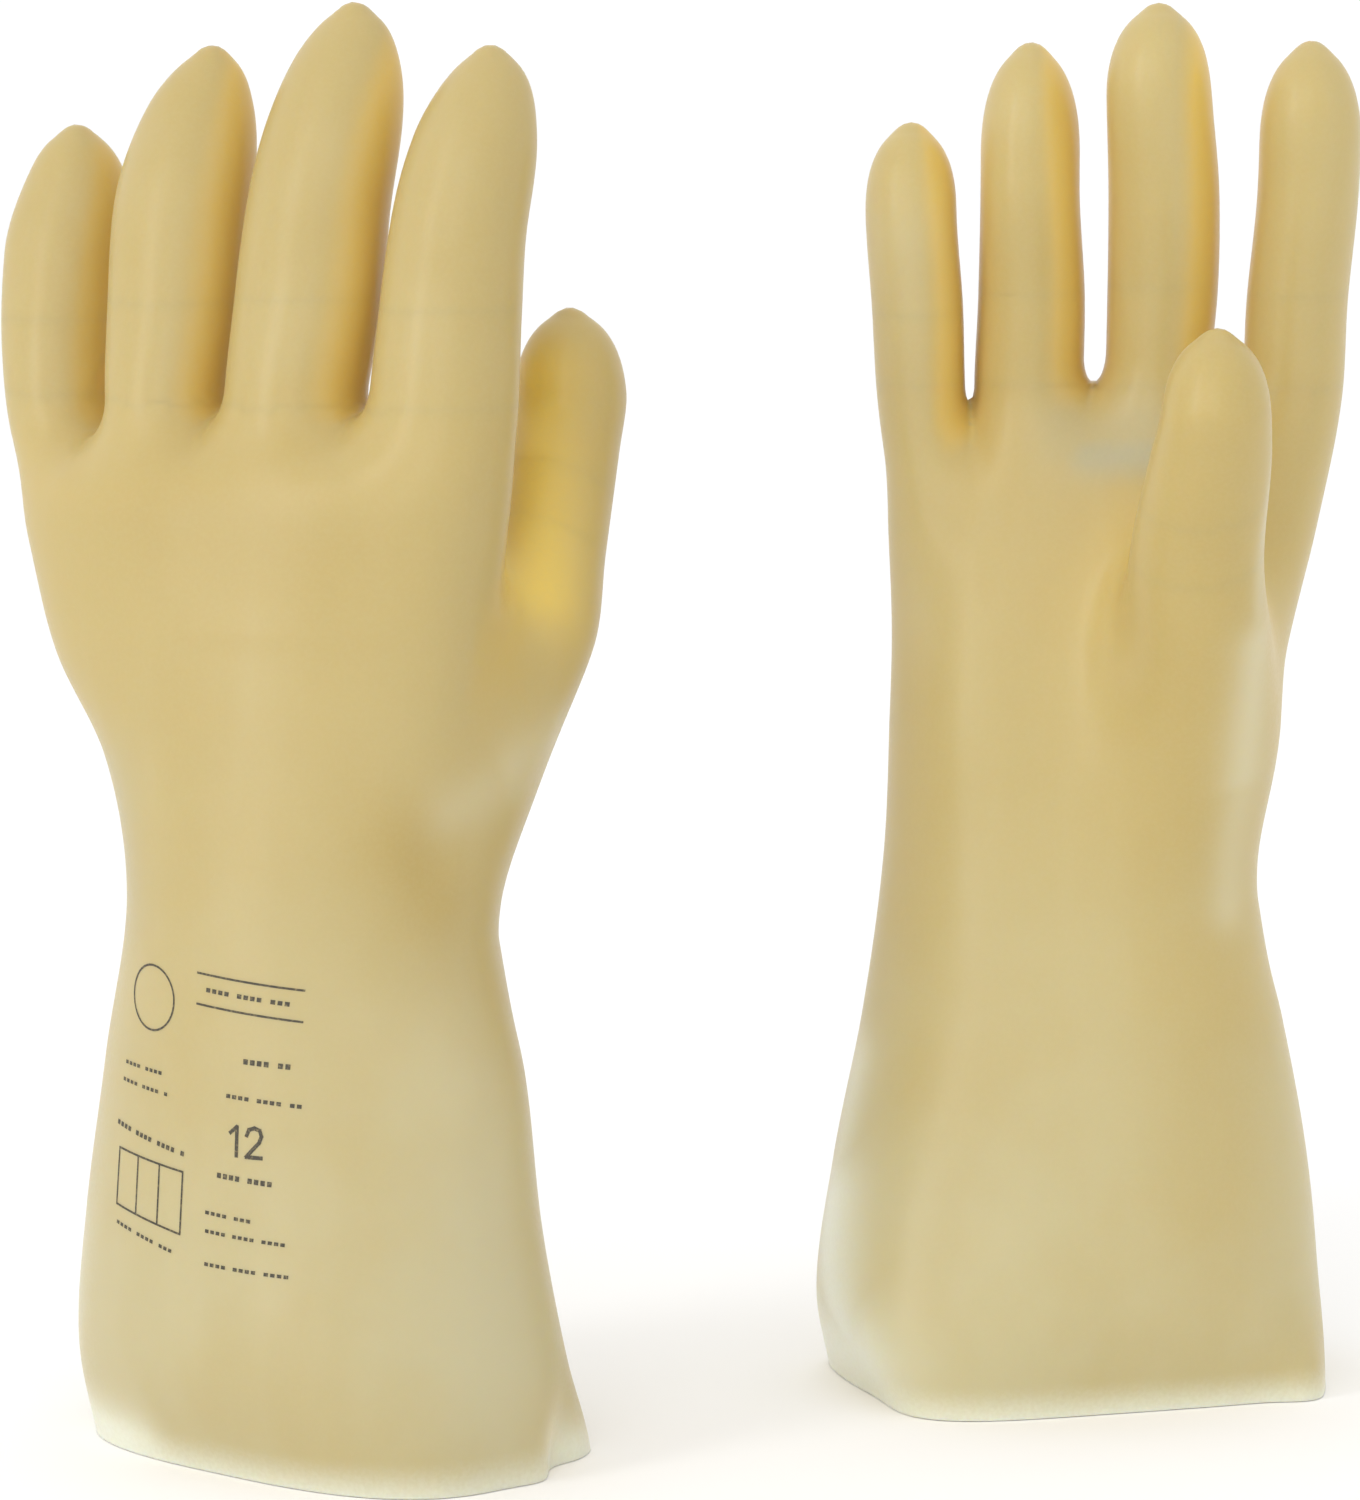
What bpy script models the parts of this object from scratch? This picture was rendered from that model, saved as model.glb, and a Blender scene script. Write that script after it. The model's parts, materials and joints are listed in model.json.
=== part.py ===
"""A pair of dipped-latex insulating gloves, 360 mm long, standing upright on their cuffs.

Each glove is one seamless latex wall. It is drawn in its own frame, in millimetres: +X towards
the thumb, -Y towards the palm, +Z towards the fingertips, with the middle of the cuff's rim at
the origin. The left glove is drawn with Y turned over. The wall is divided where a worn glove
folds, at the wrist, the knuckles and the middle of each digit, so that each region is a solid
of its own that turns on the next one. The hinge lines lie on the palm side of the wall, where
the folds close, so the divisions only ever open.
"""
import math

import bmesh
import bpy
from mathutils import Matrix, Vector

MM = 0.001

WALL = 1.0        # thickness of the latex
GAP = 0.3         # clearance where the wall is divided
WRIST = 140.0     # height of the fold at the wrist, where the glove is narrowest
KNUCKLES = 266.0  # height of the folds at the roots of the fingers, just above the webs
FINGER_FRONT = -50.0   # the fingers lie behind this Y, the thumb's tip in front of it
THUMB_SPACE = 21.0     # half the side of the box that holds the thumb, across its middle line
REACH = 250.0     # how far a cutting box runs past the glove
BELOW_RIM = 10.0  # the space inside is drawn this far past the rim, to open it
BODY_DOME = 14.0  # height of the dome that closes the hand behind the fingers

BODY_SIDES = 28
BODY_STEP = 25.0
DIGIT_SIDES = 14
DIGIT_STEP = 20.0
DOME_RINGS = 3
SAME_POINT = 0.00002   # points nearer than this, in metres, are one
SHARP = 40.0      # edges over this many degrees stay sharp

LATEX = (0.62, 0.49, 0.24)
LATEX_WARM = (0.60, 0.42, 0.16)
LATEX_PALE = (0.66, 0.55, 0.33)
ROUGHNESS = 0.42

# A section of the wall is (height, centre x, centre y, half width, half depth). The body's also
# have a twist in degrees and how square they are, where 2 is an ellipse. Above the last section
# a digit closes in a dome that is `dome` long and ends at `tip`. The folds are the heights, on
# the digit's own middle line, where its wall is divided.
RIGHT = {
    "flip": 1.0,
    "turn": -8.0,
    "stand": (106.5, 35.6),
    "body": [
        (0, -1.6, 4, 61, 46, 24, 4.5), (25, -3.3, -2.4, 65.6, 46.2, 21, 2.7), (58, -3, -1, 62.4, 44, 10, 2.2),
        (97, -3, 0, 55, 40, 2, 2), (140, -4, 0, 49.5, 36, 0, 2), (178, -1, 0, 50, 33, 0, 2),
        (217, 2, 2, 53, 30, 0, 2), (248, 3, 3, 52, 27, 0, 2),
    ],
    "between_fingers": (-30.8, 1.9, 36.6),
    "digits": {
        "thumb": {
            "sections": [
                (130, 20, -8, 13, 14), (165, 28, -22, 16, 18), (200, 31, -40, 17.5, 19),
                (223, 31, -52, 16.8, 18), (249, 35, -68, 15, 17), (262, 37, -75, 13.6, 16),
            ],
            "tip": 281, "dome": 22, "folds": (228, 250),
        },
        "index": {
            "sections": [
                (190, 34, 0, 9, 11), (225, 45, 0, 12.5, 15), (257, 52, -1, 12.9, 17.5),
                (285, 54, -6, 13, 17.5), (312, 57, -14, 13.1, 17), (340, 58, -23, 12.4, 15),
            ],
            "tip": 350, "dome": 26, "folds": (KNUCKLES, 306),
        },
        "middle": {
            "sections": [
                (190, 12, 2, 9, 11), (225, 15, 3, 12.5, 15), (258, 17, 2, 13, 17.5),
                (285, 19, -4, 14.2, 17.5), (312, 20, -14, 14.4, 17), (345, 19, -24, 13.4, 15.5),
            ],
            "tip": 360, "dome": 24, "folds": (KNUCKLES, 311),
        },
        "ring": {
            "sections": [
                (190, -12, 1, 9, 11), (225, -14, 2, 12.5, 15), (258, -15.5, 0, 14, 17),
                (285, -14.5, -6, 13.8, 17), (315, -14, -16, 13.2, 16.5),
            ],
            "tip": 350, "dome": 28, "folds": (KNUCKLES, 306),
        },
        "little": {
            "sections": [
                (190, -32, -1, 8, 10), (225, -40, -3, 11, 14), (255, -44, -5, 11.8, 15.5),
                (283, -44, -12, 12.2, 15.5), (310, -45, -20, 12, 15),
            ],
            "tip": 329, "dome": 22, "folds": (KNUCKLES, 296),
        },
    },
}

LEFT = {
    "flip": -1.0,
    "turn": -27.0,
    "stand": (-85.1, -39.4),
    "body": [
        (0, -3, -5, 64.5, 43.5, 12, 2.9), (25, -6, -1.6, 67.5, 46.7, 12, 2.3), (58, -7.7, -1, 63, 43.5, 10, 2.2),
        (97, -6.4, 0, 57.5, 40.3, 5, 2), (140, -6.5, 0, 48.5, 37, 0, 2), (174, -9, 0, 50.5, 34, 0, 2),
        (199, -14, 1, 58, 32, 0, 2), (224, -18, 2, 62, 30, 0, 2), (248, -20, 3, 62, 27, 0, 2),
    ],
    "between_fingers": (-70.5, -29.8, 11.9),
    "digits": {
        "thumb": {
            "sections": [
                (130, 12, -8, 12, 14), (165, 25, -20, 15, 18), (200, 36, -38, 16, 19),
                (222, 34.5, -50, 14.2, 18), (246, 30.5, -66, 13, 17), (262, 28, -75, 12.5, 16),
            ],
            "tip": 281, "dome": 26, "folds": (228, 250),
        },
        "index": {
            "sections": [
                (190, 15, 0, 9, 11), (225, 27, 0, 15, 15), (255, 31, 0, 18.4, 17.5),
                (285, 31.5, -5, 17.8, 17.5), (305, 30.5, -12, 17.4, 17), (340, 31.5, -23, 17, 16),
            ],
            "tip": 350, "dome": 40, "folds": (KNUCKLES, 306),
        },
        "middle": {
            "sections": [
                (190, -10, 2, 9, 11), (225, -10, 3, 15, 15), (258, -9.5, 2, 17.2, 17.5),
                (287, -8.5, -4, 18.6, 17.5), (311, -10.5, -13, 18.4, 17), (345, -12, -24, 18, 16),
            ],
            "tip": 360, "dome": 46, "folds": (KNUCKLES, 311),
        },
        "ring": {
            "sections": [
                (190, -33, 1, 9, 11), (225, -41, 2, 14, 15), (258, -46, 1, 15.2, 17),
                (285, -48, -6, 17.2, 17), (310, -51, -14, 17.8, 17), (340, -50, -23, 17, 16),
            ],
            "tip": 350, "dome": 42, "folds": (KNUCKLES, 306),
        },
        "little": {
            "sections": [
                (190, -48, -1, 8, 10), (225, -69, -3, 12, 14), (249, -81, -6, 14, 15.5),
                (272, -87.5, -11, 15, 15.5), (297, -91.5, -19, 16, 15.5), (320, -92, -25, 15, 15),
            ],
            "tip": 329, "dome": 32, "folds": (KNUCKLES, 296),
        },
    },
}

GLOVES = {"left": LEFT, "right": RIGHT}
FINGERS = ("little", "ring", "middle", "index")


def clear_scene():
    """Removes whatever the scene holds."""
    for obj in list(bpy.data.objects):
        bpy.data.objects.remove(obj, do_unlink=True)


def new_collection(name):
    """A collection linked to the scene."""
    collection = bpy.data.collections.new(name)
    bpy.context.scene.collection.children.link(collection)
    return collection


def latex(name, colour):
    """A latex material with the node's own tint."""
    material = bpy.data.materials.new(name + "_latex")
    material.use_nodes = True
    shader = material.node_tree.nodes["Principled BSDF"]
    shader.inputs["Base Color"].default_value = (*colour, 1.0)
    shader.inputs["Roughness"].default_value = ROUGHNESS
    shader.inputs["Metallic"].default_value = 0.0
    return material


def section_at(sections, height):
    """The section at a height: a smooth curve through the given ones, level past the ends."""
    heights = [section[0] for section in sections]
    height = min(max(height, heights[0]), heights[-1])
    last = len(sections) - 2
    span = next((i for i in range(last) if height < heights[i + 1]), last)
    length = heights[span + 1] - heights[span]
    t = (height - heights[span]) / length
    rise = t * t * (3 - 2 * t)
    leave = t * (1 - t) ** 2 * length
    arrive = t * t * (t - 1) * length
    return [
        sections[span][k] * (1 - rise) + sections[span + 1][k] * rise
        + slope(sections, span, k) * leave + slope(sections, span + 1, k) * arrive
        for k in range(1, len(sections[0]))
    ]


def slope(sections, i, k):
    """Slope of value k at section i, from the sections either side."""
    steps = [
        (sections[j + 1][k] - sections[j][k]) / (sections[j + 1][0] - sections[j][0])
        for j in (i - 1, i) if 0 <= j < len(sections) - 1
    ]
    return sum(steps) / len(steps)


def outline(section, shrink, sides):
    """Points round a section, made smaller about its middle."""
    x, y, half_width, half_depth = section[:4]
    twist, square = section[4:] or (0.0, 2.0)
    cos_twist, sin_twist = math.cos(math.radians(twist)), math.sin(math.radians(twist))
    points = []
    for j in range(sides):
        turn = 2 * math.pi * j / sides
        across = half_width * shrink * rounded(math.cos(turn), square)
        along = half_depth * shrink * rounded(math.sin(turn), square)
        points.append((x + across * cos_twist - along * sin_twist, y + across * sin_twist + along * cos_twist))
    return points


def rounded(value, square):
    """A cosine or sine made squarer: 2 leaves it as it is."""
    return math.copysign(abs(value) ** (2 / square), value)


def column(sections, tip, dome, flip, inset, base, sides, step, below=0.0):
    """A closed column through the sections, from a flat base, or one further below, to a domed tip."""
    shoulder = tip - dome
    rings = [(base - below, section_at(sections, base), 1.0)] if below else []
    count = max(2, round((shoulder - base) / step))
    for i in range(count + 1):
        height = base + (shoulder - base) * i / count
        rings.append((height, section_at(sections, height), 1.0))
    for i in range(1, DOME_RINGS):
        turn = math.radians(90.0 * i / DOME_RINGS)
        height = shoulder + (dome - inset) * math.sin(turn)
        rings.append((height, section_at(sections, height), math.cos(turn)))
    form = bmesh.new()
    loops = []
    for height, section, shrink in rings:
        x, y, half_width, half_depth = section[:4]
        inside = x, y, half_width - inset, half_depth - inset, *section[4:]
        loops.append([
            form.verts.new(Vector((across, flip * along, height)) * MM)
            for across, along in outline(inside, shrink, sides)
        ])
    for lower, upper in zip(loops, loops[1:]):
        for j in range(sides):
            k = (j + 1) % sides
            form.faces.new((lower[j], lower[k], upper[k], upper[j]))
    x, y = section_at(sections, tip)[:2]
    peak = form.verts.new(Vector((x, flip * y, tip - inset)) * MM)
    for j in range(sides):
        form.faces.new((loops[-1][j], loops[-1][(j + 1) % sides], peak))
    form.faces.new(loops[0])
    bmesh.ops.recalc_face_normals(form, faces=form.faces)
    mesh = bpy.data.meshes.new("column")
    form.to_mesh(mesh)
    form.free()
    return bpy.data.objects.new("column", mesh)


def combined(target, others, operation):
    """The target after a Boolean with each of the others, which are used up."""
    scene = bpy.context.scene.collection
    for obj in (target, *others):
        scene.objects.link(obj)
    for other in others:
        add_boolean(target, other, operation)
    mesh = bpy.data.meshes.new_from_object(target.evaluated_get(bpy.context.evaluated_depsgraph_get()))
    for obj in (target, *others):
        bpy.data.objects.remove(obj, do_unlink=True)
    return bpy.data.objects.new("form", mesh)


def add_boolean(obj, cutter, operation):
    """An exact Boolean modifier."""
    modifier = obj.modifiers.new(operation.title(), "BOOLEAN")
    modifier.operation = operation
    modifier.object = cutter
    modifier.solver = "EXACT"


def solid_hand(glove, inset):
    """The glove as a solid: the body with its five digits, all made smaller by the inset."""
    below = BELOW_RIM if inset else 0.0
    top = glove["body"][-1][0] + BODY_DOME
    body = column(
        glove["body"], top, BODY_DOME, glove["flip"], inset, 0.0, BODY_SIDES, BODY_STEP, below)
    digits = []
    for digit in glove["digits"].values():
        base = digit["sections"][0][0] + inset
        digits.append(column(
            digit["sections"], digit["tip"], digit["dome"], glove["flip"], inset, base,
            DIGIT_SIDES, DIGIT_STEP))
    return combined(body, digits, "UNION")


def hollow_hand(glove):
    """The seamless wall, open at the cuff, as one mesh."""
    wall = combined(solid_hand(glove, 0.0), [solid_hand(glove, WALL)], "DIFFERENCE")
    mesh = wall.data
    bpy.data.objects.remove(wall)
    tidy = bmesh.new()
    tidy.from_mesh(mesh)
    bmesh.ops.remove_doubles(tidy, verts=tidy.verts, dist=SAME_POINT)
    tidy.to_mesh(mesh)
    tidy.free()
    mesh.shade_smooth()
    mesh.set_sharp_from_angle(angle=math.radians(SHARP))
    mesh.materials.clear()
    mesh.materials.append(None)
    return mesh


def box_cutter(name, low, high, collection, frame, tilt=None):
    """A wire box between two corners, in the glove's frame or in a tilted one within it."""
    mesh = bpy.data.meshes.new(name)
    form = bmesh.new()
    bmesh.ops.create_cube(form, size=1.0)
    low, high = Vector(low) * MM, Vector(high) * MM
    size = high - low
    form.transform(Matrix.Translation((low + high) / 2) @ Matrix.Diagonal((*size, 1.0)))
    form.to_mesh(mesh)
    form.free()
    cutter = bpy.data.objects.new(name, mesh)
    cutter.matrix_world = frame @ (tilt or Matrix.Identity(4))
    cutter.hide_render = True
    cutter.display_type = "WIRE"
    collection.objects.link(cutter)
    return cutter


def joint_empty(name, point, frame, parent, collection):
    """An empty on a hinge line, with its X axis along the glove's own X."""
    empty = bpy.data.objects.new(name, None)
    empty.empty_display_size = 0.01
    collection.objects.link(empty)
    place_under(empty, frame @ Matrix.Translation(Vector(point) * MM), parent)
    return empty


def place_under(obj, matrix, parent):
    """Puts an object at a world matrix and parents it where it is."""
    bpy.context.view_layer.update()
    if parent is not None:
        obj.parent = parent
        obj.matrix_parent_inverse = parent.matrix_world.inverted()
    obj.matrix_basis = matrix
    bpy.context.view_layer.update()


def region(name, wall, colour, parent, frame, collection, keep, remove=()):
    """One region of the wall: what lies in the `keep` box and in none of the `remove` boxes."""
    obj = bpy.data.objects.new(name, wall)
    collection.objects.link(obj)
    obj.material_slots[0].link = "OBJECT"
    obj.material_slots[0].material = latex(name, colour)
    add_boolean(obj, keep, "INTERSECT")
    for cutter in remove:
        add_boolean(obj, cutter, "DIFFERENCE")
    place_under(obj, frame, parent)
    return obj


def thumb_frame(glove, fold):
    """A frame at a fold of the thumb: Z along the thumb, X across it, Y towards the back."""
    sections = glove["digits"]["thumb"]["sections"]
    lower, upper = glove["digits"]["thumb"]["folds"]
    lean = math.atan2(section_at(sections, lower)[1] - section_at(sections, upper)[1], upper - lower)
    x, y = section_at(sections, fold)[:2]
    turn = Matrix.Rotation(glove["flip"] * lean, 4, "X")
    return Matrix.Translation(Vector((x, glove["flip"] * y, fold)) * MM) @ turn


def build_thumb(hand, glove, wall, frame, palm_empty, parts, cutters):
    """The thumb's two regions, and the box that takes the thumb off the palm."""
    digit = glove["digits"]["thumb"]
    root, bend = (thumb_frame(glove, fold) for fold in digit["folds"])
    apart = (bend.translation - root.translation).length / MM
    half = THUMB_SPACE
    above = half, half, REACH / 2
    low_box = box_cutter(hand + "_thumb_lower", (-half, -half, GAP / 2), (half, half, apart - GAP / 2),
                         cutters, frame, root)
    high_box = box_cutter(hand + "_thumb_upper", (-half, -half, GAP / 2), above, cutters, frame, bend)
    whole_box = box_cutter(hand + "_thumb_whole", (-half, -half, -GAP / 2), above, cutters, frame, root)
    parent = palm_empty
    for part, box, place in (("proximal", low_box, root), ("distal", high_box, bend)):
        height = place.translation.z / MM
        _, _, half_width, _ = section_at(digit["sections"], height)
        hinge = place @ Vector((-half_width * MM, 0, 0))
        parent = joint_empty(hand + "_thumb_" + part + "_hinge", hinge / MM, frame, parent, parts)
        region(hand + "_thumb_" + part, wall, LATEX_WARM, parent, frame, parts, box)
    return whole_box


def build_finger(hand, glove, name, wall, frame, palm_empty, parts, cutters):
    """A finger's two regions, each in a box between its neighbours."""
    bounds = (-REACH, *glove["between_fingers"], REACH)
    place = FINGERS.index(name)
    left, right = bounds[place], bounds[place + 1]
    digit = glove["digits"][name]
    near, far = sorted((glove["flip"] * FINGER_FRONT, glove["flip"] * REACH))
    knuckle, bend = digit["folds"]
    parent = palm_empty
    for part, low, high in (("proximal", knuckle, bend - GAP / 2), ("distal", bend, REACH * 2)):
        label = hand + "_" + name + "_" + part
        box = box_cutter(label + "_box", (left, near, low + GAP / 2), (right, far, high), cutters, frame)
        x, y, _, half_depth = section_at(digit["sections"], low)
        hinge = (x, glove["flip"] * (y - half_depth), low)
        parent = joint_empty(label + "_hinge", hinge, frame, parent, parts)
        region(label, wall, LATEX, parent, frame, parts, box)


def build_glove(hand, glove, parts, cutters):
    """One glove, standing at its own place and turn."""
    x, y = glove["stand"]
    frame = Matrix.Translation(Vector((x, y, 0.0)) * MM)
    frame = frame @ Matrix.Rotation(math.radians(glove["turn"]), 4, "Z")
    wall = hollow_hand(glove)
    cuff_box = box_cutter(hand + "_cuff_box", (-REACH, -REACH, -REACH), (REACH, REACH, WRIST - GAP / 2),
                          cutters, frame)
    palm_box = box_cutter(hand + "_palm_box", (-REACH, -REACH, WRIST + GAP / 2),
                          (REACH, REACH, KNUCKLES - GAP / 2), cutters, frame)
    foot = joint_empty(hand + "_cuff_foot", (0, 0, 0), frame, None, parts)
    region(hand + "_cuff", wall, LATEX_PALE, foot, frame, parts, cuff_box)
    x, y, _, half_depth = section_at(glove["body"], WRIST)[:4]
    wrist = (x, glove["flip"] * (y - half_depth), WRIST)
    palm_empty = joint_empty(hand + "_palm_hinge", wrist, frame, foot, parts)
    thumb_box = build_thumb(hand, glove, wall, frame, palm_empty, parts, cutters)
    region(hand + "_palm", wall, LATEX, palm_empty, frame, parts, palm_box, [thumb_box])
    for name in FINGERS:
        build_finger(hand, glove, name, wall, frame, palm_empty, parts, cutters)


def main():
    clear_scene()
    parts = new_collection("insulating_gloves")
    cutters = new_collection("cutters")
    for hand, glove in GLOVES.items():
        build_glove(hand, glove, parts, cutters)


main()
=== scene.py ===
"""The looks of a pair of dipped-latex insulating gloves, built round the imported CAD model.

The forms are in millimetres, in a glove's own frame: +X towards the thumb, -Y towards the palm,
+Z towards the fingertips, with the middle of the cuff's rim at the origin. The left glove has Y
turned over. Each glove's frame is found from its wrist joint. A glove is one smooth field, whose
zero surface is the outside of the latex. The surface is meshed whole, given its wall, and then
divided into pieces that share their borders and their normals, so that no division shows.
"""

import json
import math

import bpy
import numpy as np
import openvdb
from mathutils import Matrix, Vector


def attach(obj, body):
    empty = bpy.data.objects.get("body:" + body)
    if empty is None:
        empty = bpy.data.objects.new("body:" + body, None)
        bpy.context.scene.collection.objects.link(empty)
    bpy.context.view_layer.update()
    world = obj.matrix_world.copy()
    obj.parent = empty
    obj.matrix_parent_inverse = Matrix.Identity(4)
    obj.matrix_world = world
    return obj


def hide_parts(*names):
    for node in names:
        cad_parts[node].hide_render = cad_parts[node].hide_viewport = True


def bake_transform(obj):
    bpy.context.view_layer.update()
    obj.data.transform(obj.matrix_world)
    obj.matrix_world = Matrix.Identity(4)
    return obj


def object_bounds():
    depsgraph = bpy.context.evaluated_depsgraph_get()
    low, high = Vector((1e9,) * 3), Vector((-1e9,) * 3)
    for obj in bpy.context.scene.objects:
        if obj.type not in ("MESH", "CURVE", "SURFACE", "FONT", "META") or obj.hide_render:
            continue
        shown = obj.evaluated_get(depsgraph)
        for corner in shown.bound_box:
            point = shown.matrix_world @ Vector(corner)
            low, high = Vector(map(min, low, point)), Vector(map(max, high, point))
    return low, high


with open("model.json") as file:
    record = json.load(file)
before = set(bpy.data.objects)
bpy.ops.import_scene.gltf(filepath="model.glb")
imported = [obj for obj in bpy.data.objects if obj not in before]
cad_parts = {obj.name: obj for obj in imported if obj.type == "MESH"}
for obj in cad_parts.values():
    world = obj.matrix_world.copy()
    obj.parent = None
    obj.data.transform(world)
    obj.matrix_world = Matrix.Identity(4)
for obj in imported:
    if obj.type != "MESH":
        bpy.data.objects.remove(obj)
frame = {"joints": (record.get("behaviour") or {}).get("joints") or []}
CAD_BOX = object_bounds()

MM = 0.001
WALL = 1.0             # thickness of the latex
LENGTH = 360.0         # rim to the tip of the middle finger
WRIST = 140.0          # height of the wrist's fold
KNUCKLES = 266.0       # height of the folds at the roots of the fingers
PITCH = 1.8     # size of the mesh's faces

GRID_LOW = (-112.0, -112.0)            # X and Y of the corners of the grid a glove is meshed on
GRID_HIGH = (90.0, 72.0)
GRID_BELOW = 2.5       # the grid starts this many faces below the rim
GRID_ABOVE = 2.0
RIM_SLACK = 0.6        # faces this far below the rim, as a share of a face, are left off
FINGER_FRONT = -50.0   # fingers lie behind this Y and the thumb's tip in front of it
TIP_NIB = 2.8          # radius of the small drip left at each fingertip by dipping
NIB_BLEND = 3.6        # softness where the drip meets the dome
NIB_DROP = 0.4         # what the blend adds to the height of the drip
NIB_RISE = 1.2         # how far the drip stands above the dome
DOME_FULLNESS = 1.2    # a digit's dome is an ellipse at 1, and fuller above it
WEB_BLEND = 3.0        # softness where two fingers part
ROOT_BLEND = 11.0      # softness where a finger leaves the hand
THUMB_BLEND = 26.0     # softness where the thumb leaves the hand
HAND_TOP_BLEND = 22.0  # softness where the top of the hand turns over

# A section is (height, centre x, centre y, half width, half depth), and in the body also a
# twist in degrees and how square it is (2 is an ellipse). The folds are the heights where the
# digit bends. A swelling is (x, y, z, radius x, radius y, radius z, height). The stretches of
# painted shade, of painted orange shade, of grey stain (cool) and of painted light on the latex
# are (one end, other end, radius, strength), and tone scales the colour of the whole glove. The top
# of the hand, where the webs are, is (height, rise across it, fall away from its middle). The
# fingers are told apart at three values of X, and the wrist's hinge line passes through (x, y).
RIGHT = {
    "flip": 1.0,
    "tone": 1.0,
    "body": [
        (0, -1.6, 4, 61, 46, 24, 4.5), (25, -3.3, -2.4, 65.6, 46.2, 21, 2.7),
        (58, -3, -1, 62.4, 44, 10, 2.2), (97, -3, 0, 55, 40, 2, 2),
        (140, -5.3, 0, 47.2, 36, 0, 2.1), (178, -1, 0, 50, 33, 0, 2.3),
        (217, 2.2, 2, 52, 30, 0, 2.5), (240, 3.5, 3, 51.1, 26, 0, 2.5), (265, 4, 2, 52, 21, 0, 2.5),
    ],
    "digits": {
        "thumb": {
            "sections": [
                (130, 20, -8, 13, 14), (165, 28, -22, 16, 18), (200, 31, -40, 17.5, 19),
                (223, 31, -52, 16.8, 18), (249, 35, -68, 15, 17), (262, 36.6, -75, 13.5, 16),
            ],
            "tip": 281, "dome": 23, "folds": (228, 250),
        },
        "index": {
            "sections": [
                (190, 34, 0, 9, 11), (225, 45, 0, 12.5, 15), (257, 52, -1, 12.9, 17.5),
                (285, 53.6, -6, 12.9, 17.5), (312, 56.2, -14, 12.8, 17), (340, 56.9, -23, 12.8, 15),
            ],
            "tip": 350.5, "dome": 26, "folds": (KNUCKLES, 306),
        },
        "middle": {
            "sections": [
                (190, 12, 2, 9, 11), (225, 15, 3, 12.5, 15), (258, 17, 2, 13, 17.5),
                (285, 19, -4, 14.1, 17.5), (312, 19.7, -14, 14.1, 17), (345, 18.6, -24, 13.2, 15.5),
            ],
            "tip": 360, "dome": 24, "folds": (KNUCKLES, 311),
        },
        "ring": {
            "sections": [
                (190, -12, 1, 9, 11), (225, -14, 2, 12.5, 15), (258, -15.5, 0, 14, 17),
                (285, -14.5, -6, 13.7, 17), (315, -14.3, -16, 12.6, 16.5),
            ],
            "tip": 350, "dome": 28, "folds": (KNUCKLES, 306),
        },
        "little": {
            "sections": [
                (190, -32, -1, 8, 10), (225, -38.5, -3, 10.5, 14), (255, -42.6, -5, 11.3, 15.5),
                (283, -43.4, -12, 11.7, 15.5), (310, -44.4, -20, 11.6, 15),
            ],
            "tip": 329.8, "dome": 22, "folds": (KNUCKLES, 296),
        },
    },
    "swellings": [
        (-26, -30, 190, 20, 14, 34, 3.0), (62, -18, 0, 9, 9, 14, 4.5),
        (-57, -38, 0, 14, 14, 16, -2.5),
    ],
    # Painted light: a glow on the rim and the cuff's lit wall, and painted highlights along the thumb's
    # folds and a finger's side.
    "painted_light": [
        ((-66, 0, 8), (-58, -40, 10), 19, 1.0), ((-60, -36, 15), (-63, -22, 48), 15, 0.95),
        ((-61, -20, 50), (-58, -14, 85), 9, 0.5), ((51, -70, 262), (48, -52, 207), 4, 0.22),
        ((-46, -34, 300), (-47, -26, 205), 12, 0.13), ((47, -50, 200), (44, -36, 165), 8, 0.32),
        ((44, -36, 165), (40, -24, 130), 7, 0.22),
    ],
    "cool": [((-2, -22, 253), (14, -22, 252), 12, 0.6), ((2, -22, 246), (16, -22, 246), 6.5, 1.0)],
    "painted_warm_shade": [((10, -30, 206), (13, -26, 234), 9, 0.1)],
    # Painted shade on the thumb and on the side of the glove turned from the light.
    "painted_shade": [
        ((34, -66, 215), (37, -88, 266), 20, 0.8), ((33, -46, 140), (34, -58, 215), 24, 0.8),
        ((40, -38, 60), (40, -36, 130), 24, 0.6),
    ],
    "hand_top": (259, 0.2, 0.0025),
    "between_fingers": (-30.8, 1.9, 36.6),
    "wrist_hinge": (-4, -36),
}

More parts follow.
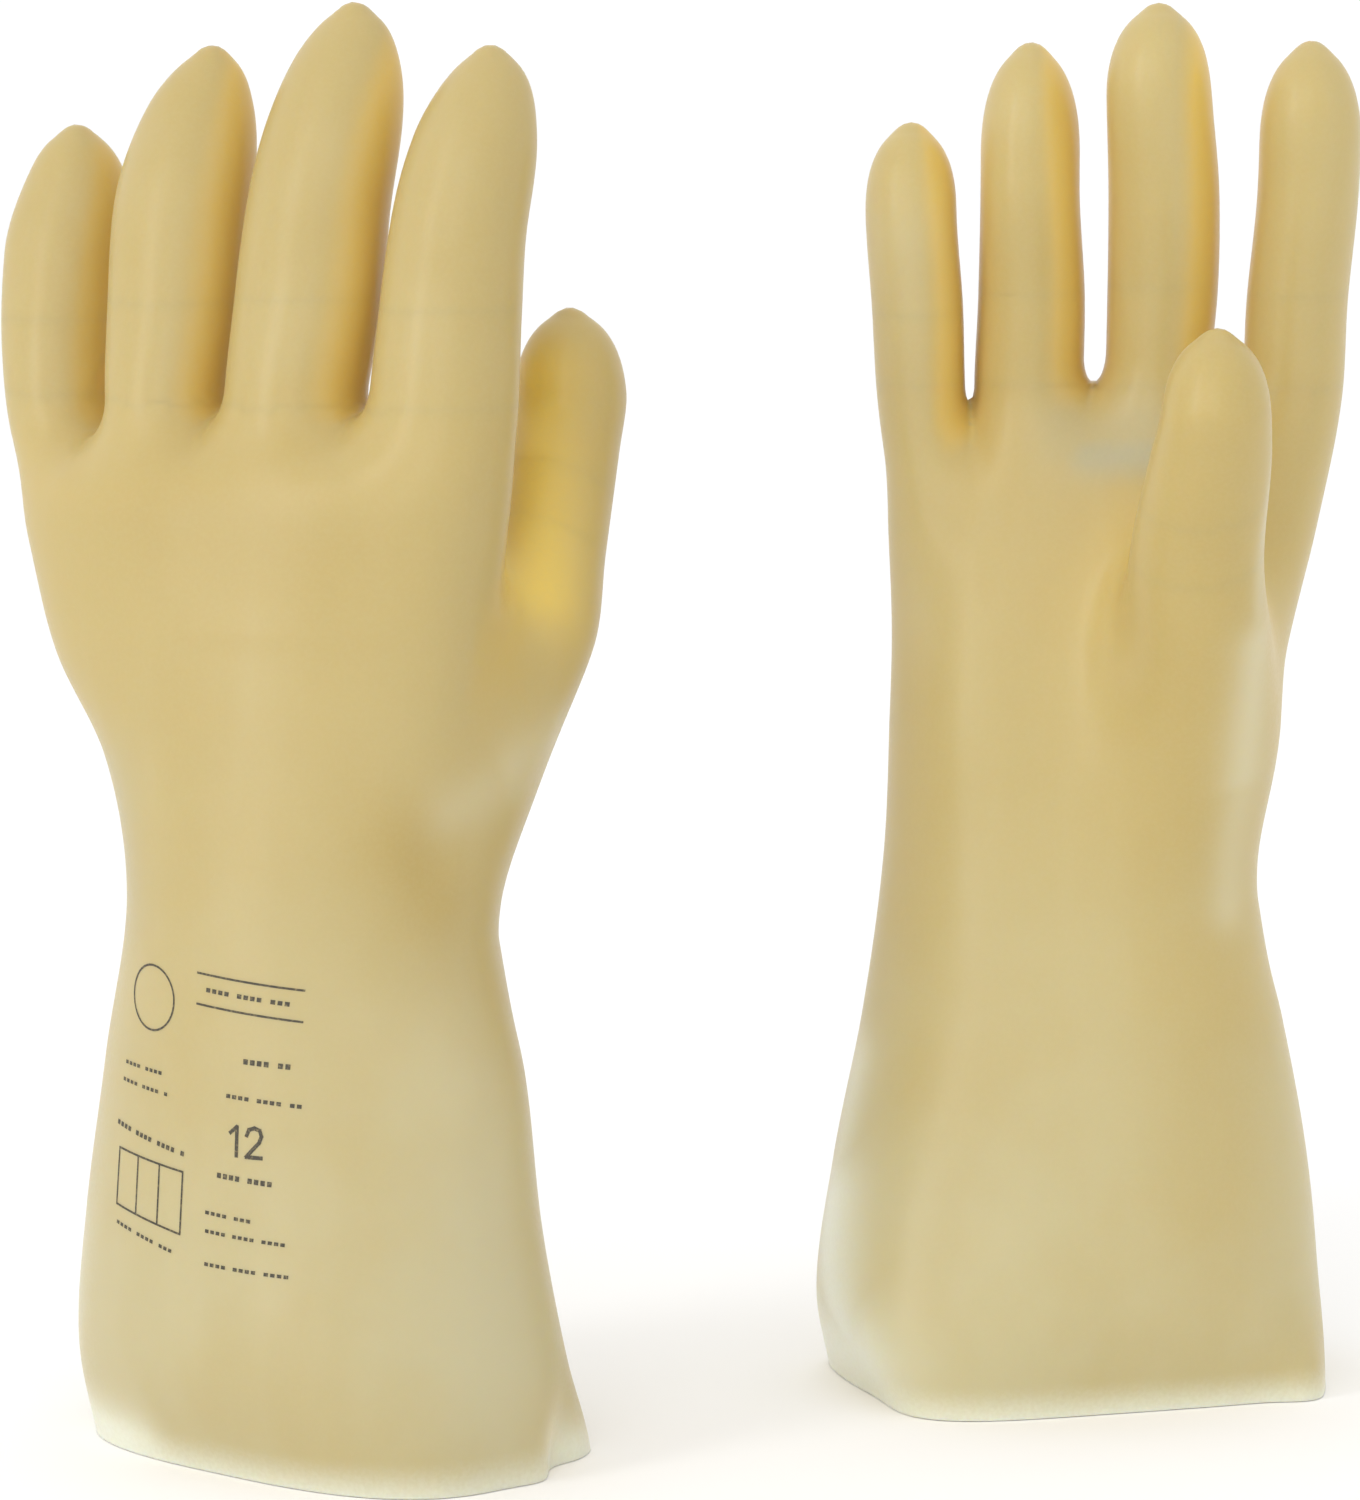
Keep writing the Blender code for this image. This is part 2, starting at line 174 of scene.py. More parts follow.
LEFT = {
    "flip": -1.0,
    "tone": 0.9,
    "body": [
        (0, -3, -5, 64.5, 43.5, 12, 2.9), (25, -6, -1.6, 67.5, 46.7, 12, 2.3),
        (58, -7.7, -1, 63, 43.5, 10, 2.2), (97, -6.4, 0, 57.5, 40.3, 5, 2),
        (140, -8.2, 0, 46.4, 37, 0, 2.1), (174, -9, 0, 52, 34, 0, 2.3),
        (199, -15.4, 1, 59.4, 32, 0, 2.4), (224, -18.6, 2, 62.8, 29, 0, 2.5),
        (248, -20, 3, 64, 25, 0, 2.5), (265, -20, 2, 64, 21, 0, 2.5),
    ],
    "digits": {
        "thumb": {
            "sections": [
                (130, 12, -8, 12, 14), (165, 25, -20, 15, 18), (200, 35, -38, 15, 19),
                (222, 33.6, -50, 13.5, 18), (246, 29.5, -66, 13.3, 17), (262, 26.7, -75, 14.2, 16),
            ],
            "tip": 283, "dome": 26, "folds": (228, 250),
        },
        "index": {
            "sections": [
                (190, 15, 0, 9, 11), (225, 27, 0, 15, 15), (255, 31, 0, 18.4, 17.5),
                (285, 31, -5, 17.5, 17.5), (305, 29.4, -12, 16.8, 17), (328, 30.5, -19, 16.7, 16.5),
                (350, 32, -24, 16.5, 16),
            ],
            "tip": 349.8, "dome": 40, "folds": (KNUCKLES, 306),
        },
        "middle": {
            "sections": [
                (190, -10, 2, 9, 11), (225, -10, 3, 15, 15), (258, -9.5, 2, 17.2, 17.5),
                (287, -8.5, -4, 18.6, 17.5), (311, -10.5, -13, 18.2, 17), (345, -9, -24, 17.8, 16),
                (360, -8.2, -27, 17.8, 15),
            ],
            "tip": 360.2, "dome": 43, "folds": (KNUCKLES, 311),
        },
        "ring": {
            "sections": [
                (190, -33, 1, 9, 11), (225, -41, 2, 14, 15), (258, -46, 1, 15.2, 17),
                (285, -48, -6, 17.2, 17), (310, -50.5, -14, 17.6, 17), (335, -49.9, -22, 17.2, 16),
                (350, -47.8, -24, 16.8, 15.5),
            ],
            "tip": 349.4, "dome": 42, "folds": (KNUCKLES, 306),
        },
        "little": {
            "sections": [
                (190, -48, -1, 8, 10), (225, -68.5, -3, 12, 14), (249, -79.5, -6, 14, 15.5),
                (272, -85.3, -11, 15, 15.5), (297, -88.8, -19, 15.8, 15.5), (320, -89, -25, 15.4, 15),
            ],
            "tip": 329.2, "dome": 32, "folds": (KNUCKLES, 296),
        },
    },
    "swellings": [
        (-26, -30, 190, 20, 14, 34, 3.0), (64, 9, 0, 8, 8, 14, 2.5), (60, -6, 0, 9, 8, 16, -4.0),
        (57, -27, 0, 7, 7, 22, 2.0), (37, 15, 152, 9, 8, 9, -1.4), (45, -4, 171, 7, 12, 4, 0.8),
        (-6, 32, 209, 34, 12, 4, 0.4),
    ],
    # Painted light: a glow on the rim, the cuff's wall and notch, painted highlights along the wrist's
    # crease, and a lighter far side.
    "painted_light": [
        ((-62, 14, 4), (-40, 36, 2), 9, 0.9), ((-66, 8, 4), (-67, 8, 46), 14, 0.36),
        ((58, -26, 0), (62, -2, 6), 8, 0.7), ((40, 12, 165), (47, -8, 173), 8, 0.15),
        ((47, -8, 173), (47, -26, 180), 9, 0.25), ((56, 20, 20), (47, 22, 110), 18, 0.12),
    ],
    # Painted orange shade: the thumb in the hand's shade, lit as if by bounced light.
    "painted_warm_shade": [((41, -30, 216), (24, -60, 266), 12, 1.0)],
    "cool": [((-48, 22, 168), (-46, 24, 140), 12, 0.35)],
    # Painted shade in the dent by the wrist and on the back of the hand.
    "painted_shade": [((32, 20, 158), (40, 14, 143), 13, 1.0), ((-30, 32, 236), (10, 32, 228), 20, 0.6)],
    "hand_top": (256.5, 0.02, 0.0009),
    "between_fingers": (-70.5, -29.8, 11.9),
    "wrist_hinge": (-6.5, -37),
}

GLOVES = {"left": LEFT, "right": RIGHT}
FINGERS = ("little", "ring", "middle", "index")
STRETCHES = ("painted_shade", "painted_warm_shade", "cool", "painted_light")

SLOPE_STEP = 0.4       # the field's slope is measured over this distance either side
SETTLE_PASSES = 3
PRINT_PASSES = 5       # the print starts further from the surface
# The painted crevice shade stands in for shade and for orange light bounced between the digits.
FRONT_PROBES = ((5.0, 0.3), (10.0, 0.4), (18.0, 0.3))    # distances in front, and their weights
FRONT_SHARE = 0.42     # how much latex straight in front deepens the painted shade
NEIGHBOUR_REACH = 20.0     # a digit is shaded by a neighbour within about this distance
NEIGHBOUR_GAIN = 1.6
FACING = (-0.02, 0.75)     # how far a surface turns from the light as the shade sets in

ROOT_MARGIN = 4.0      # the hand's piece ends this far below a digit's fold
BEND_MARGIN = 3.0      # a bend span stops this far from the border the two pieces share
BEND_LEAD = 0.3        # the lower bend span starts this far below a digit's root fold
THUMB_REACH = 21.0     # the thumb's pieces hold what is this near its middle line

LATEX_HAND = (0.545, 0.41, 0.165, 1.0)
LATEX_CUFF = (0.56, 0.472, 0.262, 1.0)
# Real mottling, and painted shade where the light falls off.
LATEX_MOTTLE_AND_SHADE = (0.51, 0.37, 0.13, 1.0)
LATEX_PALE = (0.62, 0.52, 0.30, 1.0)
# Painted shade between the digits.
LATEX_CREVICE_SHADE = (0.74, 0.48, 0.115, 1.0)
# Painted orange shade, as of light bounced into shade.
LATEX_WARM_SHADE = (0.90, 0.60, 0.125, 1.0)
LATEX_COOL = (0.46, 0.405, 0.245, 1.0)
# Painted glow and painted highlights.
LATEX_GLOW = (0.88, 0.84, 0.68, 1.0)
INK_DARK = (0.045, 0.038, 0.022, 1.0)
INK_WORN = (0.20, 0.16, 0.075, 1.0)

# Marks printed on the back of the left cuff, at X across the glove and Z up it.
INK_WIDTH = 0.55       # width of a drawn line
INK_LIFT = 0.06        # how far the ink stands off the latex
INK_STEP = 1.0         # the ink follows the curve of the latex in steps of this length
RING = ((-32.5, 117.0), 8.0)       # its middle and radius
RING_STEPS = 40
RULES = (((-17.0, 125.0), (12.5, 122.4)), ((-17.0, 117.4), (12.5, 114.8)))
CELLS = ((-45.0, 78.1), (-20.4, 75.5), (-21.0, 60.0), (-45.4, 64.0))
CELL_COUNT = 3
# A row of dashes is (left X, left Z, right X, right Z, thickness).
DASHES = (
    (-14.0, 121.0, 9.5, 118.9, 1.1), (-2.6, 104.4, 10.5, 103.8, 1.3), (-7.2, 95.7, 13.7, 94.3, 1.0),
    (-9.4, 76.0, 8.7, 74.8, 1.3), (-12.8, 66.5, 1.4, 65.4, 0.9), (-12.7, 61.9, 12.7, 60.3, 0.9),
    (-12.6, 53.8, 14.2, 52.5, 0.9), (-43.6, 99.6, -26.3, 98.7, 0.9), (-44.6, 95.2, -25.8, 93.8, 0.9),
    (-46.5, 84.3, -19.6, 79.8, 1.2), (-45.1, 59.6, -23.2, 55.3, 0.9),
)
DASH_STEP = 1.75       # from one dash to the next
DASH_GROUP = 5         # the last place of each group is left blank
DASH_SHARE = 0.68      # how much of its place a dash fills
CORNER_FILL = 0.35     # a line runs on past its corners by this share of its width
SIZE_WIDTH = 1.0       # line width of the size number
SIZE_AT = (-6.0, 81.2)
SIZE_DIGITS = (
    ((0.3, 5.6), (2.2, 7.2), (2.2, 0.0)),
    ((5.0, 5.2), (5.6, 6.7), (7.1, 7.2), (8.6, 6.7), (9.1, 5.3), (8.5, 3.7), (5.0, 0.0), (9.3, 0.0)),
)

# The studio is in metres, watts, degrees, and millimetres of lens.
WORLD_STRENGTH = 1.05
FLOOR_REACH = 30.0
FLOOR_DROP = 0.0002    # keeps the floor clear of the rims
FLOOR_WHITE = (0.97, 0.97, 0.97, 1.0)
FLOOR_GREY = (0.85, 0.85, 0.85, 1.0)
# A light is (place, size, power).
LIGHTS = {
    "key": ((-0.3, -1.3, 0.8), (0.7, 0.9), 2.5),
    "strip": ((-1.4, -1.1, 0.8), (0.4, 1.6), 8.0),
}
CAMERA_X = 0.0008
CAMERA_DISTANCE = 1.4644
CAMERA_PITCH = 7.338
CAMERA_LENS = 139.2


# The form of a glove


def smooth(z, sections):
    """Every value of a table of sections at heights z, on a smooth curve that is level above its end."""
    table = np.array(sections, float)
    heights, values = table[:, 0], table[:, 1:]
    spans = np.diff(heights)
    steps = np.diff(values, axis=0) / spans[:, None]
    slopes = np.vstack([steps[:1], (steps[:-1] + steps[1:]) / 2, 0 * steps[:1]])
    z = np.clip(z, heights[0], heights[-1])
    i = np.clip(np.searchsorted(heights, z, side="right") - 1, 0, len(spans) - 1)
    t = (z - heights[i]) / spans[i]
    rise = t * t * (3 - 2 * t)
    leave = t * (1 - t) ** 2 * spans[i]
    arrive = t * t * (t - 1) * spans[i]
    return [
        values[i, k] * (1 - rise) + values[i + 1, k] * rise
        + slopes[i, k] * leave + slopes[i + 1, k] * arrive
        for k in range(values.shape[1])
    ]


def soft_min(a, b, blend):
    """The lesser of a and b, rounded where they are within `blend` of each other."""
    near = np.maximum(blend - np.abs(a - b), 0) / blend
    return np.minimum(a, b) - near * near * blend / 4


def ellipse(x, y, half_width, half_depth, power, over):
    """Roughly the distance to a column's outline. `over` is the rise up its dome, and its rate."""
    rise, rate = over
    x, y = np.abs(x) + 1e-6, np.abs(y) + 1e-6
    u, v = x / half_width, y / half_depth
    reach = (u**power + v**power + rise**power) ** (1 / power) + 1e-9
    steep = np.sqrt(
        (u ** (power - 1) / half_width) ** 2 + (v ** (power - 1) / half_depth) ** 2
        + (rise ** (power - 1) * rate) ** 2)
    return (reach - 1) * reach ** (power - 1) / (steep + 1e-9)


def digit_field(x, y, z, digit):
    """Roughly the distance to a digit: a column with a domed tip and a nib, fading out at its base."""
    cx, cy, half_width, half_depth = smooth(z, digit["sections"])
    dome = digit["dome"]
    over = np.maximum(z - (digit["tip"] - NIB_RISE - dome), 0) / dome
    rate = DOME_FULLNESS * over ** (DOME_FULLNESS - 1) / dome
    column = ellipse(x - cx, y - cy, half_width, half_depth, 2.0, (over**DOME_FULLNESS, rate))
    tip_x, tip_y, _, _ = smooth(np.array(float(digit["tip"])), digit["sections"])
    above = z - (digit["tip"] - NIB_DROP - TIP_NIB)
    nib = np.sqrt((x - tip_x) ** 2 + (y - tip_y) ** 2 + above**2) - TIP_NIB
    column = soft_min(column, nib, NIB_BLEND)
    return -soft_min(-column, z - digit["sections"][0][0], ROOT_BLEND)


def glove_field(x, y, z, glove):
    """Roughly the distance, in millimetres, from points to the outside of the glove; negative inside."""
    cx, cy, half_width, half_depth, twist, power = smooth(z, glove["body"])
    c, s = np.cos(np.radians(twist)), np.sin(np.radians(twist))
    dx, dy = x - cx, y - cy
    no_dome = (0 * z, 0.0)
    field = ellipse(dx * c + dy * s, dy * c - dx * s, half_width, half_depth, power, no_dome)
    height, rise, fall = glove["hand_top"]
    top = z - height - rise * x + fall * x * x
    field = -soft_min(-field, -top, HAND_TOP_BLEND)
    fingers = digit_field(x, y, z, glove["digits"][FINGERS[0]])
    for name in FINGERS[1:]:
        fingers = soft_min(fingers, digit_field(x, y, z, glove["digits"][name]), WEB_BLEND)
    field = soft_min(field, fingers, ROOT_BLEND)
    field = soft_min(field, digit_field(x, y, z, glove["digits"]["thumb"]), THUMB_BLEND)
    for sx, sy, sz, rx, ry, rz, height in glove["swellings"]:
        apart = ((x - sx) / rx) ** 2 + ((y - sy) / ry) ** 2 + ((z - sz) / rz) ** 2
        field = field - height * np.exp(-apart)
    return field


def gradient(points, glove):
    """The field's slope at points, and the field itself."""
    x, y, z = points.T
    step = SLOPE_STEP
    slope = np.stack([
        glove_field(x + step, y, z, glove) - glove_field(x - step, y, z, glove),
        glove_field(x, y + step, z, glove) - glove_field(x, y - step, z, glove),
        glove_field(x, y, z + step, glove) - glove_field(x, y, z - step, glove),
    ], 1) / (2 * step)
    return slope, glove_field(x, y, z, glove)


def settle(points, glove, passes=SETTLE_PASSES):
    """Moves points onto the surface. Returns them and the outward normals there."""
    for _ in range(passes):
        slope, value = gradient(points, glove)
        points = points - slope * (value / (np.einsum("ij,ij->i", slope, slope) + 1e-9))[:, None]
    slope, _ = gradient(points, glove)
    return points, slope / np.linalg.norm(slope, axis=1)[:, None]


def outer_surface(glove):
    """Points, normals and quads of the outside of the glove, open at the rim, which is level."""
    low = np.array([*GRID_LOW, -GRID_BELOW * PITCH])
    high = np.array([*GRID_HIGH, LENGTH + GRID_ABOVE * PITCH])
    counts = np.ceil((high - low) / PITCH).astype(int) + 1
    x, y, z = (low[k] + PITCH * np.arange(counts[k]) for k in range(3))
    field = glove_field(x[:, None, None], y[None, :, None], z[None, None, :], glove)
    grid = openvdb.FloatGrid()
    grid.background = float(LENGTH)
    grid.copyFromArray(np.ascontiguousarray(field.astype(np.float32)))
    points, _, quads = grid.convertToPolygons(isovalue=0.0, adaptivity=0.0)
    points = points * PITCH + low
    quads = quads.astype(int)
    quads = quads[(points[quads][:, :, 2] > -RIM_SLACK * PITCH).all(1)]
    corners = points[quads]
    across = np.cross(corners[:, 2] - corners[:, 0], corners[:, 3] - corners[:, 1])
    middle = corners.mean(1)
    slope, _ = gradient(middle, glove)
    if np.einsum("ij,ij->i", across, slope).sum() < 0:
        quads = quads[:, ::-1]
    used, quads = np.unique(quads, return_inverse=True)
    quads = quads.reshape(-1, 4)
    points, normals = settle(points[used], glove)
    rim = np.unique(open_edges(quads))
    points[rim, 2] = 0.0
    level = normals[rim] * (1, 1, 0)
    normals[rim] = level / np.linalg.norm(level, axis=1)[:, None]
    return points, normals, quads


def open_edges(quads):
    """The edges that belong to one quad only, as pairs of points in the quad's own order."""
    edges = np.concatenate([quads[:, [k, (k + 1) % 4]] for k in range(4)])
    size = int(edges.max()) + 1
    keys = edges.min(1) * size + edges.max(1)
    _, first, count = np.unique(keys, return_index=True, return_counts=True)
    return edges[first[count == 1]]


def crevice_shade(points, normals, glove, across):
    """Painted shade, 0 to 1, for shade and orange bounced light: by latex in front of the surface, and by
    a neighbour beside it.

    `across` is the level direction, in the glove's frame, away from the side that the light comes from.
    """
    front = 0.0
    for reach, weight in FRONT_PROBES:
        x, y, z = (points + normals * reach).T
        front = front + weight * (1 - glove_field(x, y, z, glove) / reach)
    x, y, z = (points + across * NEIGHBOUR_REACH).T
    turned = normals @ across
    room = glove_field(x, y, z, glove) / NEIGHBOUR_REACH
    beside = np.clip(NEIGHBOUR_GAIN * (turned - room), 0, 1)
    facing = np.clip((turned - FACING[0]) / (FACING[1] - FACING[0]), 0, 1)
    return np.maximum(FRONT_SHARE * np.clip(front, 0, 1), beside * facing * facing * (3 - 2 * facing))


def stretches(points, rows):
    """How strongly points lie in the stretches given, 0 to 1."""
    strength = np.zeros(len(points))
    for start, end, radius, peak in rows:
        start, along = np.array(start, float), np.subtract(end, start).astype(float)
        share = np.clip((points - start) @ along / (along @ along), 0, 1)
        apart = np.linalg.norm(points - start - share[:, None] * along, axis=1)
        strength = np.maximum(strength, peak * np.exp(-(apart / radius) ** 2))
    return strength


# From the form to pieces


def glove_frame(hand, glove):
    """The matrix from the glove's own frame to the model's, both in metres, from its wrist joint."""
    joint = joint_named(hand + "_wrist_bend")
    across = Vector(joint["axis"]) * glove["flip"]
    turn = Matrix.Rotation(math.atan2(across.y, across.x), 4, "Z")
    x, y = glove["wrist_hinge"]
    hinge = Vector((x, glove["flip"] * y, WRIST)) * MM
    return Matrix.Translation(joint["pos_m"]) @ turn @ Matrix.Translation(-hinge)


def joint_named(name):
    """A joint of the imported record."""
    return next(joint for joint in frame["joints"] if joint["name"] == name)


def thumb_line(glove, height):
    """The thumb's middle point at a height, and its direction there."""
    sections = glove["digits"]["thumb"]["sections"]
    lower, upper = glove["digits"]["thumb"]["folds"]
    at, low, high = (
        np.array([*[float(v) for v in smooth(np.array(float(h)), sections)[:2]], h])
        for h in (height, lower, upper))
    direction = high - low
    direction[0] = 0.0
    return at, direction / np.linalg.norm(direction)


def along_digit(name, points, glove):
    """How far points are past a digit's root fold: straight up for a finger, and along the thumb."""
    if name != "thumb":
        return points[:, 2] - KNUCKLES
    at, direction = thumb_line(glove, glove["digits"]["thumb"]["folds"][0])
    return (points - at) @ direction


def digit_mask(name, points, glove):
    """True at points that lie on a digit's free length."""
    past_root = along_digit(name, points, glove) > -ROOT_MARGIN
    if name == "thumb":
        at, direction = thumb_line(glove, glove["digits"]["thumb"]["folds"][0])
        aside = (points - at) - np.outer((points - at) @ direction, direction)
        return past_root & (np.linalg.norm(aside, axis=1) < THUMB_REACH)
    bounds = (-1000.0, *glove["between_fingers"], 1000.0)
    place = FINGERS.index(name)
    beside = (points[:, 0] > bounds[place]) & (points[:, 0] < bounds[place + 1])
    return past_root & beside & (points[:, 1] > FINGER_FRONT)


def make_piece(name, points, normals, quads, matrix, extra):
    """A mesh object from the quads given, with the whole surface's normals and its per-point values."""
    used, local = np.unique(quads, return_inverse=True)
    mesh = bpy.data.meshes.new(name)
    rotation = np.array(matrix.to_3x3())
    places = points[used] * MM @ rotation.T + np.array(matrix.translation)
    mesh.from_pydata(places.tolist(), [], local.reshape(quads.shape).tolist())
    mesh.shade_smooth()
    mesh.normals_split_custom_set_from_vertices((normals[used] @ rotation.T).tolist())
    for key, values in extra.items():
        kind, field = ("FLOAT_VECTOR", "vector") if values.ndim == 2 else ("FLOAT", "value")
        layer = mesh.attributes.new(key, kind, "POINT")
        layer.data.foreach_set(field, values[used].astype(np.float32).ravel())
    obj = bpy.data.objects.new(name, mesh)
    bpy.context.scene.collection.objects.link(obj)
    return obj


def with_wall(points, normals, quads):
    """Adds the inside of the latex and the cut edge at the rim. Returns points, normals and quads."""
    count = len(points)
    inner = points - normals * WALL
    rim = open_edges(quads)
    inner[np.unique(rim), 2] = 0.0
    edge = np.stack([rim[:, 1], rim[:, 0], rim[:, 0] + count, rim[:, 1] + count], 1)
    quads = np.concatenate([quads, quads[:, ::-1] + count, edge])
    return np.concatenate([points, inner]), np.concatenate([normals, -normals]), quads


def bend_spans(name, digit, glove):
    """Half the way between a digit's folds, and the ends of a bend span for each piece."""
    root, bend = digit["folds"]
    if name == "thumb":
        at, direction = thumb_line(glove, root)
        length = float((thumb_line(glove, bend)[0] - at) @ direction)
    else:
        at, direction = np.array([0.0, 0.0, KNUCKLES]), np.array([0.0, 0.0, 1.0])
        length = bend - root
    half = 0.5 * length
    lower = (-BEND_LEAD, half - BEND_MARGIN)
    upper = (half + BEND_MARGIN, 3 * half - BEND_MARGIN)
    return half, [(at + direction * start, at + direction * end) for start, end in (lower, upper)]


def build_glove(hand, glove, material):
    """One glove's pieces."""
    matrix = glove_frame(hand, glove)
    flip = np.array([1.0, glove["flip"], 1.0])
    points, normals, quads = outer_surface(glove)
    across = np.array(matrix.to_3x3().inverted() @ Vector((1, 0, 0))) * flip
    # Painted crevice shade, and stretches of painted shade, painted orange shade, grey stain and painted
    # light.
    marks = {
        "painted_crevice_shade": crevice_shade(points, normals, glove, across),
        **{mark: stretches(points, glove[mark]) for mark in STRETCHES},
    }
    points, normals, quads = with_wall(points, normals, quads)
    extra = {"place": points * MM, **{mark: np.tile(values, 2) for mark, values in marks.items()}}
    placed, turned = points * flip, normals * flip
    if glove["flip"] < 0:
        quads = quads[:, ::-1]
    middle = points[quads].mean(1)

    def piece(name, mask, nodes):
        """A piece of the glove, which stands for the nodes given."""
        obj = make_piece(name, placed, turned, quads[mask], matrix, extra)
        obj.data.materials.append(material)
        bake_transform(obj)
        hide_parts(*nodes)

    rest = np.ones(len(quads), bool)
    for name, digit in glove["digits"].items():
        mask = digit_mask(name, middle, glove)
        up = along_digit(name, middle, glove)
        half, (lower, upper) = bend_spans(name, digit, glove)
        proximal, distal = f"{hand}_{name}_proximal", f"{hand}_{name}_distal"
        piece(f"{hand}_{name}_lower", mask & (up < half), [proximal])
        piece(f"{hand}_{name}_upper", mask & (up >= half), [distal])
        rest &= ~mask
    both = [hand + "_cuff", hand + "_palm"]
    piece(hand + "_hand", rest, both)


# The print


def strokes():
    """Every printed line, as (points, width)."""
    lines = [(ring_outline(), INK_WIDTH), ((*CELLS, CELLS[0]), INK_WIDTH)]
    lines.extend((rule, INK_WIDTH) for rule in RULES)
    upper, lower = CELLS[:2], (CELLS[3], CELLS[2])
    for i in range(1, CELL_COUNT):
        share = i / CELL_COUNT
        lines.append(((between(*upper, share), between(*lower, share)), INK_WIDTH))
    for digit in SIZE_DIGITS:
        lines.append((tuple((SIZE_AT[0] + x, SIZE_AT[1] + z) for x, z in digit), SIZE_WIDTH))
    for x0, z0, x1, z1, thick in DASHES:
        places = round(math.dist((x0, z0), (x1, z1)) / DASH_STEP)
        for place in range(places):
            if place % DASH_GROUP == DASH_GROUP - 1:
                continue
            shares = (place / places, (place + DASH_SHARE) / places)
            lines.append((tuple(between((x0, z0), (x1, z1), share) for share in shares), thick))
    return lines


def between(a, b, share):
    """A point part of the way from a to b."""
    return a[0] + (b[0] - a[0]) * share, a[1] + (b[1] - a[1]) * share


def ring_outline():
    """The points of the plain ring."""
    (x, z), radius = RING
    turns = (math.tau * i / RING_STEPS for i in range(RING_STEPS + 1))
    return tuple((x + radius * math.cos(turn), z + radius * math.sin(turn)) for turn in turns)


def ribbon(points, width):
    """Pairs of edge points along each part of a line, which runs on a little past its corners."""
    runs = []
    for (x0, z0), (x1, z1) in zip(points, points[1:]):
        length = math.hypot(x1 - x0, z1 - z0)
        ux, uz = (x1 - x0) / length, (z1 - z0) / length
        over = CORNER_FILL * width if 2 < len(points) < RING_STEPS else 0.0
        count = max(1, math.ceil(length / INK_STEP))
        run = []
        for i in range(count + 1):
            along = -over + (length + 2 * over) * i / count
            x, z = x0 + ux * along, z0 + uz * along
            run.append([(x + side * uz * width / 2, z - side * ux * width / 2) for side in (-1, 1)])
        runs.append(run)
    return runs


def build_print(hand, glove, material):
    """The ink on the back of a cuff, as thin ribbons that follow the latex."""
    flat, quads = [], []
    for points, width in strokes():
        for run in ribbon(points, width):
            first = len(flat)
            flat.extend(point for pair in run for point in pair)
            starts = range(first, len(flat) - 2, 2)
            quads.extend((start, start + 1, start + 3, start + 2) for start in starts)
    x, z = np.array(flat).T
    cx, cy, half_width, half_depth, _, _ = smooth(z, glove["body"])
    y = cy + half_depth * np.sqrt(np.maximum(1 - ((x - cx) / half_width) ** 2, 0))
    points, normals = settle(np.stack([x, y, z], 1), glove, PRINT_PASSES)
    flip = np.array([1.0, glove["flip"], 1.0])
    points = (points + normals * INK_LIFT) * flip
    extra = {"place": points * MM}
    obj = make_piece(
        hand + "_cuff_print", points, normals * flip, np.array(quads), glove_frame(hand, glove), extra)
    obj.data.materials.append(material)
    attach(obj, hand + "_cuff")


# Materials


def node(tree, kind, inputs=(), **settings):
    """A shader node with its settings, and each input linked to a socket or set to a value."""
    made = tree.nodes.new(kind)
    for key, value in settings.items():
        setattr(made, key, value)
    for key, value in dict(inputs).items():
        if isinstance(value, bpy.types.NodeSocket):
            tree.links.new(value, made.inputs[key])
        else:
            made.inputs[key].default_value = value
    return made


def mix(tree, share, a, b, blend="MIX"):
    """A colour mixed from a to b by a share."""
    made = node(
        tree, "ShaderNodeMix", {0: share, 6: a, 7: b},
        data_type="RGBA", blend_type=blend, clamp_factor=True)
    return made.outputs[2]


def maths(tree, operation, *values):
    """The result of a maths node."""
    return node(tree, "ShaderNodeMath", dict(enumerate(values)), operation=operation).outputs[0]


def attribute(tree, name, output="Fac"):
    """A value that the mesh carries at each point."""
    return node(tree, "ShaderNodeAttribute", attribute_name=name).outputs[output]


def span(tree, value, low, high, to_low=0.0, to_high=1.0):
    """A value mapped smoothly from one span to another."""
    made = node(
        tree, "ShaderNodeMapRange", {0: value, 1: low, 2: high, 3: to_low, 4: to_high},
        interpolation_type="SMOOTHSTEP")
    return made.outputs[0]


def noise(tree, vector, scale, detail=3.0, roughness=0.5, stretch=(1, 1, 1)):
    """A noise value at a vector, with about `scale` features a metre."""
    mapped = node(tree, "ShaderNodeMapping", {"Vector": vector, "Scale": stretch})
    made = node(tree, "ShaderNodeTexNoise", {
        "Vector": mapped.outputs[0], "Scale": scale, "Detail": detail, "Roughness": roughness})
    return made.outputs["Fac"]


def new_material(name):
    """A material, its node tree and its shader."""
    material = bpy.data.materials.new(name)
    material.use_nodes = True
    tree = material.node_tree
    return material, tree, tree.nodes["Principled BSDF"]


